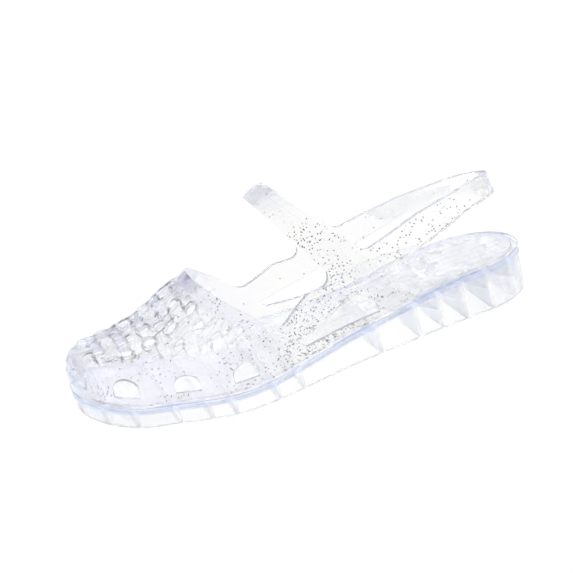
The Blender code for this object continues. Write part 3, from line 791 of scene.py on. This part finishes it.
def upper_stations():
    """Shares of the length, one for each column of the grid."""
    heel = [HEEL_PART * (1 - math.cos(math.pi / 2 * i / HEEL_FACES)) for i in range(HEEL_FACES)]
    straps = list(np.linspace(HEEL_PART, WEAVE_BACK, STRAP_FACES + 1)[:-1])
    weave = list(np.linspace(WEAVE_BACK, WEAVE_FRONT, WEAVE_COLUMNS * FACES_A_CELL + 1))
    turns = [math.pi / 2 * i / TOE_FACES for i in range(1, TOE_FACES + 1)]
    toe = [1 - (1 - WEAVE_FRONT) * (1 - math.sin(turn)) for turn in turns]
    return np.array(heel + straps + weave + toe)


stations = upper_stations()
print(len(stations), "columns from the heel to the toe")

# %% [markdown]
# Each column is one section of the last. Its points are spread by girth, the way round the
# foot, as a tape measures it. Over the cap they keep step with the weave's rows, and
# behind it they blend into even steps.

# %% Grid of the upper
WEAVE_BLEND = 0.12
WEAVE_ROWS = 8
WEAVE_GIRTH = 0.0110
WALL_SHARE = 0.75
WALL_FACES = 18
SECTION_POINTS = 600


def section(side, along):
    """Points of one side of a section, from the rim to the crest, and their girth from it."""
    bottom = float(rim(along)) + GAP
    crest = float(through(LAST, "crest", along)) * INSTEP_HEIGHT
    angle = np.linspace(0, math.pi / 2, SECTION_POINTS)
    share = np.sin(angle) ** (2 / float(through(LAST, "top", along)))
    y = half_width_of_last(side, along, share)
    z = bottom + (crest - bottom) * share
    run = np.concatenate([[0], np.cumsum(np.hypot(np.diff(y), np.diff(z)))])
    whole = run[-1]
    blend = min(max((along - WEAVE_BACK + WEAVE_BLEND) / WEAVE_BLEND, 0.0), 1.0)
    turn = whole - min(WEAVE_ROWS * WEAVE_GIRTH / 2, WALL_SHARE * whole)
    rows = WEAVE_ROWS * FACES_A_CELL
    on_wall = np.linspace(0, turn, WALL_FACES + 1)[:-1]
    woven = np.concatenate([on_wall, np.linspace(turn, whole, rows + 1)])
    stops = blend * woven + (1 - blend) * np.linspace(0, whole, len(woven))
    y = np.interp(stops, run, y)
    z = np.interp(stops, run, z)
    lean = SLING_LEAN * (1 - along) ** 3 * (z - bottom) / (SLING_LEVEL * (crest - bottom))
    x = (along * LENGTH - MID) * (1 - 2 * UPPER_SET_IN / LENGTH) + lean
    return np.stack([x, side * y, z], axis=1), whole - stops


half_rows = WALL_FACES + WEAVE_ROWS * FACES_A_CELL
points = np.zeros((len(stations), 2 * half_rows + 1, 3))
girth = np.zeros(points.shape[:2])
for i, along in enumerate(stations):
    outer, far = section(1, along)
    inner, near = section(-1, along)
    points[i] = np.concatenate([outer, inner[-2::-1]])
    girth[i] = np.concatenate([far, -near[-2::-1]])
print("grid of", points.shape[0], "by", points.shape[1], "points")

# %% [markdown]
# The relief of the weave is worked out as a height over the smooth sheet. A lengthways
# strip rides up where it is on top and dips half a pitch later; the crosswise one does
# the opposite. The higher of the two is what shows, which gives the small step where one
# strip passes under the other.

# %% Height of the woven strips
STRIP_SWING = 0.00050
STRIP_BACK = 0.00095
BACK_SQUARENESS = 2.6


def strip(along_strip, across_strip, phase, half):
    """Height of one strip: it swings up and down along its way and has a round back."""
    back = np.clip(1 - np.abs(across_strip / half) ** BACK_SQUARENESS, 0, 1) ** 0.5
    lift = STRIP_SWING * np.cos(math.pi / 2 * along_strip + math.pi * phase)
    return np.where(np.abs(across_strip) < half, lift + STRIP_BACK * back, -STRIP_SWING)


column = (stations - WEAVE_BACK) / (WEAVE_FRONT - WEAVE_BACK) * WEAVE_COLUMNS
u = np.repeat(column[:, None], points.shape[1], axis=1)
v = girth / (WEAVE_GIRTH / 2)
nearest_row = 2 * np.round((v - 1) / 2) + 1
nearest_column = 2 * np.round(u / 2)
lengthways = strip(u, v - nearest_row, (nearest_row - 1) / 2, STRIP_HALF_GIRTH)
crosswise = strip(v - 1, u - nearest_column, nearest_column / 2 + 1, STRIP_HALF_LENGTH)
relief = np.maximum(np.maximum(lengthways, crosswise), 0.0)
print("strips up to", round(float(relief.max()) * 1000, 2), "mm high before the edges fade")

# %% [markdown]
# The mould keeps a plain border round the weave: the collar, the side wall and the end of
# the toe. There the relief fades out over a few millimetres, by the distance from each
# border, so that it ends without a step.

# %% Borders of the weave
RELIEF_FADE = 0.0016


def smooth(value, low, high):
    t = np.clip((value - low) / (high - low), 0, 1)
    return t * t * (3 - 2 * t)


def rand_top(along):
    """Height where the smooth side wall ends and the weave begins."""
    drop = RAND_TOE_DROP * np.clip((along - TOE_ROUND) / (1 - TOE_ROUND), 0, 1)
    return rim(along) + RAND_HEIGHT - drop


def throat_distance(x, z):
    """Distance from the throat's edge in side view, positive on the toe's side."""
    rows = EDGE[1:5]
    edge = np.array([(r.along * LENGTH - MID, r.height * INSTEP_HEIGHT) for r in rows])
    best = np.full(x.shape, 1.0)
    for a, b in zip(edge, edge[1:]):
        way = b - a
        share = np.clip(((x - a[0]) * way[0] + (z - a[1]) * way[1]) / (way @ way), 0, 1)
        best = np.minimum(best, np.hypot(x - a[0] - way[0] * share, z - a[1] - way[1] * share))
    ahead = x - np.interp(z, edge[::-1, 1], edge[::-1, 0])
    return np.where(ahead > 0, best, -best)


along_grid = np.repeat(stations[:, None], points.shape[1], axis=1)
above_wall = points[..., 2] - rand_top(along_grid)
from_throat = throat_distance(points[..., 0], points[..., 2]) - COLLAR
weave_share = smooth(above_wall, -RELIEF_FADE / 2, RELIEF_FADE)
weave_share *= smooth(from_throat, -RELIEF_FADE / 2, RELIEF_FADE)
weave_share *= 1 - smooth(u, WEAVE_COLUMNS - 0.2, WEAVE_COLUMNS + 0.6)
relief *= weave_share
print("weave stands", round(float(relief.max()) * 1000, 2), "mm proud")

# %% [markdown]
# The upper's outline in side view runs round the cap, the straps and the heel strap. It is
# a list of corners, and each gets an arc that touches both of its sides, like a corner
# drawn round a coin. An arc never takes up more than 45 percent of a side, so that two
# neighbours can't meet.

# %% Outline in side view
ARC_TURN = math.radians(8)
ARC_ROOM = 0.45


def outline_points(rows):
    """Corners of an outline in side view, each rounded by an arc of its radius."""
    corners = [Vector((r.along * LENGTH - MID, r.height * INSTEP_HEIGHT)) for r in rows]
    made = []
    for k, row in enumerate(rows):
        corner = corners[k]
        before = corners[k - 1] - corner
        after = corners[(k + 1) % len(rows)] - corner
        half = before.angle(after) / 2
        room = ARC_ROOM * min(before.length, after.length)
        tangent = min(row.radius * COLLAR / math.tan(half), room)
        if tangent <= 0:
            made.append(corner)
            continue
        radius = tangent * math.tan(half)
        inward = (before.normalized() + after.normalized()).normalized()
        centre = corner + inward * radius / math.sin(half)
        start = corner + before.normalized() * tangent - centre
        end = corner + after.normalized() * tangent - centre
        swing = start.angle_signed(end)
        steps = max(2, round(abs(swing) / ARC_TURN))
        for s in range(steps + 1):
            turned = start.copy()
            turned.rotate(Matrix.Rotation(-swing * s / steps, 2))
            made.append(centre + turned)
    return made


edge_outline = outline_points(EDGE)
print(len(EDGE), "corners give", len(edge_outline), "points")

# %% [markdown]
# The sheet starts as a flat grid primitive. Every point of it is then laid on the last,
# in the way that a cutter's pattern is pulled over the form. Faces well outside the
# upper's outline are deleted, since the mould has no plastic there.

# %% Sheet over the last
OUTLINE_SPARE = 0.004
SAME_POINT = 0.00001


def outside(x, z, outline, spare):
    """Whether points lie outside an outline by more than a spare distance."""
    inside = np.zeros(x.shape, bool)
    near = np.full(x.shape, 1.0)
    for a, b in zip(outline, outline[1:] + outline[:1]):
        crosses = (a.y > z) != (b.y > z)
        slope = (b.x - a.x) / (b.y - a.y) if b.y != a.y else 0.0
        inside ^= crosses & (x < a.x + (z - a.y) * slope)
        way = b - a
        reach = ((x - a.x) * way.x + (z - a.y) * way.y) / max(way.length_squared, 1e-12)
        share = np.clip(reach, 0, 1)
        near = np.minimum(near, np.hypot(x - a.x - way.x * share, z - a.y - way.y * share))
    return ~inside & (near > spare)


def choose_faces(obj, test):
    """Selects in edit mode the faces whose centres pass a test."""
    bpy.ops.object.mode_set(mode="OBJECT")
    mesh = obj.data
    centres = np.zeros(len(mesh.polygons) * 3)
    mesh.polygons.foreach_get("center", centres)
    chosen = test(centres.reshape(-1, 3))
    mesh.polygons.foreach_set("select", chosen)
    mesh.edges.foreach_set("select", np.zeros(len(mesh.edges), bool))
    mesh.vertices.foreach_set("select", np.zeros(len(mesh.vertices), bool))
    bpy.ops.object.mode_set(mode="EDIT")
    bpy.ops.mesh.select_mode(type="FACE")
    return int(chosen.sum())


bpy.ops.object.select_all(action="DESELECT")
bpy.ops.mesh.primitive_grid_add(
    x_subdivisions=points.shape[0] - 1, y_subdivisions=points.shape[1] - 1, size=1)
sheet = bpy.context.object
sheet.name = "upper_clear"
flat = np.array([v.co for v in sheet.data.vertices])
station_of = np.unique(flat[:, 0].round(5), return_inverse=True)[1]
row_of = np.unique(flat[:, 1].round(5), return_inverse=True)[1]
sheet.data.vertices.foreach_set("co", points[station_of, row_of].ravel())
height = sheet.data.attributes.new("relief", "FLOAT", "POINT")
height.data.foreach_set("value", relief[station_of, row_of])
corner_of = np.zeros(len(sheet.data.loops), int)
sheet.data.loops.foreach_get("vertex_index", corner_of)
for name, first, second in (("weave", u, v), ("weave_share", weave_share, weave_share)):
    both = np.stack([first[station_of, row_of], second[station_of, row_of]], axis=1)[corner_of]
    sheet.data.uv_layers.new(name=name).data.foreach_set("uv", both.ravel())
sheet.data.update()
removed = choose_faces(sheet, lambda c: outside(c[:, 0], c[:, 2], edge_outline, OUTLINE_SPARE))
bpy.ops.mesh.delete(type="FACE")
bpy.ops.mesh.select_all(action="SELECT")
bpy.ops.mesh.remove_doubles(threshold=SAME_POINT)
bpy.ops.mesh.normals_make_consistent(inside=False)
bpy.ops.object.mode_set(mode="OBJECT")
facing = sum(f.normal.y * f.center.y * f.area for f in sheet.data.polygons)
if facing < 0:
    sheet.data.flip_normals()
print("sheet of", len(sheet.data.polygons), "faces,", removed, "outside the outline taken off")

# %% [markdown]
# Solidify gives the sheet its 2.2 mm wall, inwards, so the outside keeps the last's size.
# Only then are the outer points lifted by the weave's height: the inner face stays
# smooth, as in a mould whose core is smooth, and thin strips can't fold into themselves.

# %% Wall and weave
def take_up(*pieces):
    """Selects these pieces alone and makes the first one active, as clicks do."""
    bpy.ops.object.select_all(action="DESELECT")
    for obj in pieces:
        obj.select_set(True)
    bpy.context.view_layer.objects.active = pieces[0]


outer_count = len(sheet.data.vertices)
out_ways = np.array([v.normal for v in sheet.data.vertices])
wall = sheet.modifiers.new("Wall", "SOLIDIFY")
wall.thickness = UPPER_WALL
wall.offset = -1
wall.use_even_offset = True
take_up(sheet)
bpy.ops.object.modifier_apply(modifier="Wall")
place_of = np.zeros(len(sheet.data.vertices) * 3)
sheet.data.vertices.foreach_get("co", place_of)
place_of = place_of.reshape(-1, 3)
lift = np.zeros(len(sheet.data.vertices))
sheet.data.attributes["relief"].data.foreach_get("value", lift)
place_of[:outer_count] += out_ways * lift[:outer_count, None]
sheet.data.vertices.foreach_set("co", place_of.ravel())
sheet.data.attributes.remove(sheet.data.attributes["relief"])
sheet.data.update()
print("wall of", UPPER_WALL * 1000, "mm,", len(sheet.data.polygons), "faces")

# %% [markdown]
# Straps, collar and windows are not built one by one. They are what is left when one
# outline, drawn in side view, is cut through the whole shell: the same cut a pattern
# maker draws. The flat outline is a filled curve, made thick across the shoe, and the
# long side window is a hole in it.

# %% Cut the outline
SIDE_WINDOW_INSET = 0.012
SIDE_WINDOW_STEPS = 12


def side_window():
    """Long window between the diagonal band, the rear leg and the rail on the rim."""
    top = outline_points(WINDOW_TOP + [EdgeRow(0.366, 0.20, 0.0)])[:-1]
    back = WINDOW_TOP[-1].along
    front = WINDOW_TOP[0].along
    bottom = []
    first, last = back + SIDE_WINDOW_INSET, front - SIDE_WINDOW_INSET
    for along in np.linspace(first, last, SIDE_WINDOW_STEPS):
        rail = RAIL_BACK + (RAIL_FRONT - RAIL_BACK) * (along - back) / (front - back)
        bottom.append(Vector((along * LENGTH - MID, float(rim(along)) + rail)))
    return top + bottom


def outline_cutter():
    drawing = bpy.data.curves.new("outline", "CURVE")
    drawing.dimensions = "2D"
    drawing.fill_mode = "BOTH"
    drawing.extrude = BALL_WIDTH
    for line in (edge_outline, side_window()):
        spline = drawing.splines.new("POLY")
        spline.points.add(len(line) - 1)
        spline.use_cyclic_u = True
        for target, p in zip(spline.points, line):
            target.co = (p.x, p.y, 0, 1)
    obj = bpy.data.objects.new("outline_cutter", drawing)
    bpy.context.scene.collection.objects.link(obj)
    take_up(obj)
    bpy.ops.object.convert(target="MESH")
    obj = bpy.context.object
    obj.rotation_euler = (math.pi / 2, 0, 0)
    bpy.ops.object.transform_apply(rotation=True)
    bpy.ops.object.mode_set(mode="EDIT")
    bpy.ops.mesh.select_all(action="SELECT")
    bpy.ops.mesh.remove_doubles(threshold=SAME_POINT)
    bpy.ops.mesh.normals_make_consistent(inside=False)
    bpy.ops.object.mode_set(mode="OBJECT")
    return obj


def cut(obj, tool, operation):
    """Cuts a piece with a tool and takes the tool away."""
    modifier = obj.modifiers.new("Cut", "BOOLEAN")
    modifier.operation = operation
    modifier.object = tool
    modifier.solver = "EXACT"
    take_up(obj)
    bpy.ops.object.modifier_apply(modifier="Cut")
    bpy.data.objects.remove(tool)


cut(sheet, outline_cutter(), "INTERSECT")
print("cut to the outline,", len(sheet.data.polygons), "faces")

# %% [markdown]
# The gaps of the weave and the arched windows are short rods with rounded outlines, each
# square to the wall. A rod is a circle primitive whose points are laid on the outline, and
# then extruded. Its UV map holds one number far off, as a stamp, which the Boolean hands
# on to the faces that the rod leaves in the wall.

# %% Rods for gaps and windows
WEAVE_GAP_LENGTH = 0.0060
WEAVE_GAP_GIRTH = 0.0052
GAP_SPARE = 0.45
GAP_POINTS = 20
GAP_ROD_WALLS = 1.8
FACES_TO_NEIGHBOUR = 3
WINDOW_WIDTH = 0.0130
WINDOW_HEIGHT = 0.0085
WINDOW_ARCH = 0.35
WINDOW_SILL = 0.0048
WINDOW_PITCH = 0.0300
WINDOW_FIRST = 0.0115
WINDOWS_A_SIDE = 4
WINDOW_ROD_REACH = 0.006
ARCH_POINTS = 15
RUN_POINTS = 400
CHORD = 0.002
SLOPE_REACH = 0.01


def rod(shape, way, stamp):
    """A rod with a given outline: a circle primitive laid on it, then extruded."""
    bpy.ops.object.select_all(action="DESELECT")
    bpy.ops.mesh.primitive_circle_add(vertices=len(shape), fill_type="NGON")
    obj = bpy.context.object
    obj.data.uv_layers[0].name = "weave"
    for corner in obj.data.uv_layers["weave"].data:
        corner.uv = stamp
    for vertex, p in zip(obj.data.vertices, shape):
        vertex.co = p - way
    bpy.ops.object.mode_set(mode="EDIT")
    bpy.ops.mesh.select_all(action="SELECT")
    bpy.ops.mesh.extrude_region_move(TRANSFORM_OT_translate={"value": way * 2})
    bpy.ops.mesh.select_all(action="SELECT")
    bpy.ops.mesh.normals_make_consistent(inside=False)
    bpy.ops.object.mode_set(mode="OBJECT")
    return obj


def weave_gap_rods():
    rods = []
    for c in range(1, WEAVE_COLUMNS, 2):
        for r in range(-WEAVE_ROWS + 2, WEAVE_ROWS, 2):
            i = HEEL_FACES + STRAP_FACES + c * FACES_A_CELL
            j = half_rows - r * FACES_A_CELL
            centre = Vector(points[i, j])
            spare = WEAVE_GAP_GIRTH * GAP_SPARE
            if above_wall[i, j] < spare or from_throat[i, j] < spare:
                continue
            step = FACES_TO_NEIGHBOUR
            along = Vector(points[i + step, j] - points[i - step, j]).normalized()
            across = Vector(points[i, j + step] - points[i, j - step]).normalized()
            shape = []
            for k in range(GAP_POINTS):
                angle = 2 * math.pi * k / GAP_POINTS
                c_, s_ = math.cos(angle), math.sin(angle)
                round_sum = abs(c_) ** GAP_SQUARENESS + abs(s_) ** GAP_SQUARENESS
                reach = round_sum ** (-1 / GAP_SQUARENESS)
                shape.append(centre + along * c_ * reach * WEAVE_GAP_LENGTH / 2
                             + across * s_ * reach * WEAVE_GAP_GIRTH / 2)
            way = along.cross(across).normalized() * UPPER_WALL * GAP_ROD_WALLS
            rods.append(rod(shape, way, (FAR_OFF, 0)))
    return rods


def window_rods():
    """Arched windows in the side wall, at even steps round the toe."""
    rods = []
    for side in (1, -1):
        along = np.linspace(1.0, 0.5, RUN_POINTS)
        x = along * LENGTH - MID
        set_in = UPPER_SET_IN * end_round(along, HEEL_ROUND, 2.0, side)
        y = side * (sole_half_width(side, along) - set_in)
        run = np.concatenate([[0], np.cumsum(np.hypot(np.diff(x), np.diff(y)))])
        for k in range(WINDOWS_A_SIDE):
            middle = WINDOW_FIRST + k * WINDOW_PITCH
            rise = WINDOW_WIDTH * WINDOW_ARCH
            arch = [(WINDOW_WIDTH / 2 * math.cos(a), WINDOW_HEIGHT - rise + rise * math.sin(a))
                    for a in np.linspace(0, math.pi, ARCH_POINTS)]
            corners = [(-WINDOW_WIDTH / 2, 0.0), (WINDOW_WIDTH / 2, 0.0)] + arch
            ends = [np.interp(middle + d, run, row) for row in (x, y) for d in (-CHORD, CHORD)]
            way = Vector((ends[1] - ends[0], ends[3] - ends[2], 0)).normalized()
            out_way = Vector((way.y, -way.x, 0))
            at = float(np.interp(middle, run, along))
            sill = float(rim(at)) + WINDOW_SILL
            centre = Vector((np.interp(middle, run, x), np.interp(middle, run, y), sill))
            drop = float(rim(at - SLOPE_REACH)) - float(rim(at + SLOPE_REACH))
            slope = drop / (2 * SLOPE_REACH * LENGTH)
            tilt = Vector((way.x, way.y, slope * abs(way.x))).normalized()
            shape = [centre + tilt * a + Vector((0, 0, 1)) * b for a, b in corners]
            rods.append(rod(shape, out_way * WINDOW_ROD_REACH, (0, FAR_OFF)))
    return rods


rods = weave_gap_rods() + window_rods()
print(len(rods), "gaps and windows")

# %% [markdown]
# All the rods are joined into one cutter, so that one Boolean does them. The printed
# counts show that the stamps came through, since the materials rely on them.

# %% Cut the gaps and windows
def joined(pieces, name):
    take_up(*pieces)
    bpy.ops.object.join()
    bpy.context.object.name = name
    return bpy.context.object


cut(sheet, joined(rods, "gap_rods"), "DIFFERENCE")
stamps = np.array([corner.uv for corner in sheet.data.uv_layers["weave"].data])
print("upper has", len(sheet.data.polygons), "faces; corners in gaps and windows:",
      [int((stamps[:, k] > FAR_OFF / 2).sum()) for k in (0, 1)])

# %% [markdown]
# Smooth shading makes the fine grid gloss like one surface, and edges sharper than 40
# degrees stay crisp, as at the cut edges of the straps. The new upper takes the place of
# the packed one, which is hidden from view and render but stays in the scene. The new
# upper stands in for the packed one, which stays in the simulation.

# %% Finish the upper
UPPER_CRISP_ANGLE = 40

take_up(sheet)
bpy.ops.object.shade_smooth_by_angle(angle=math.radians(UPPER_CRISP_ANGLE))
sheet.data.materials.clear()
sheet.data.materials.append(upper_vinyl)
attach(sheet, "root")
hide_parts("upper")
print("upper done")

# %% [markdown]
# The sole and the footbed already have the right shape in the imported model. A copy of
# each is merged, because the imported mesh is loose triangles, and shaded smooth. Clear
# plastic needs that: light that enters a wall must find the other side of the same body.

# %% Outsole and footbed
SAME_PACKED_POINT = 0.000005
SOLE_CRISP_ANGLE = 32


def merged_copy(node, name, material):
    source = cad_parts[node]
    obj = bpy.data.objects.new(name, source.data.copy())
    bpy.context.scene.collection.objects.link(obj)
    take_up(obj)
    bpy.ops.object.mode_set(mode="EDIT")
    bpy.ops.mesh.select_all(action="SELECT")
    bpy.ops.mesh.remove_doubles(threshold=SAME_PACKED_POINT)
    bpy.ops.object.mode_set(mode="OBJECT")
    if obj.data.has_custom_normals:
        bpy.ops.mesh.customdata_custom_splitnormals_clear()
    bpy.ops.object.shade_smooth_by_angle(angle=math.radians(SOLE_CRISP_ANGLE))
    obj.data.materials.clear()
    obj.data.materials.append(material)
    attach(obj, "root")
    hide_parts(node)
    print(name, len(obj.data.polygons), "faces")
    return obj


outsole = merged_copy("outsole", "outsole_clear", sole_vinyl)
footbed = merged_copy("footbed", "footbed_clear", footbed_vinyl)

# %% [markdown]
# The materials of the sole need to know which faces are which. A face attribute says so,
# by each face's place and the way that it faces: the blue band of the rim, the deck, the
# ribs across the shoe, and the footbed's top face with its scales.

# %% Marked faces
RIM_BAND = 0.0046
RIM_SLACK = 0.0004
END_SHARE = 0.02
FLAT_TOP = 0.9
LEVEL = 0.7
ACROSS = 0.7
SEAT_UP = 0.8


def mark_faces(obj, name, chosen):
    """Writes 1 on the chosen faces and 0 on the others, for a material to read."""
    mark = obj.data.attributes.new(name, "FLOAT", "FACE")
    mark.data.foreach_set("value", chosen.astype(float))
    print(int(chosen.sum()), "faces marked", name)


centres = np.array([f.center for f in outsole.data.polygons])
ways = np.array([f.normal for f in outsole.data.polygons])
share = (centres[:, 0] + MID) / LENGTH
under_rim = rim(share) - centres[:, 2]
outer_side = centres[:, 1] > 0
half_width = np.where(outer_side, sole_half_width(1, share), sole_half_width(-1, share))
edge_in = half_width - np.abs(centres[:, 1])
at_end = (share < END_SHARE) | (share > 1 - END_SHARE)
at_edge = (edge_in < RIM_LIP) | at_end
in_band = (under_rim < RIM_BAND - RIM_SLACK) & at_edge & (ways[:, 2] < FLAT_TOP)
in_ribs = (under_rim > RIM_BAND) & (edge_in > RIM_LIP) & (np.abs(ways[:, 0]) > ACROSS)
mark_faces(outsole, "band", in_band)
mark_faces(outsole, "deck", np.abs(ways[:, 2]) > LEVEL)
mark_faces(outsole, "rib", in_ribs)
mark_faces(footbed, "seat", np.array([f.normal.z > SEAT_UP for f in footbed.data.polygons]))
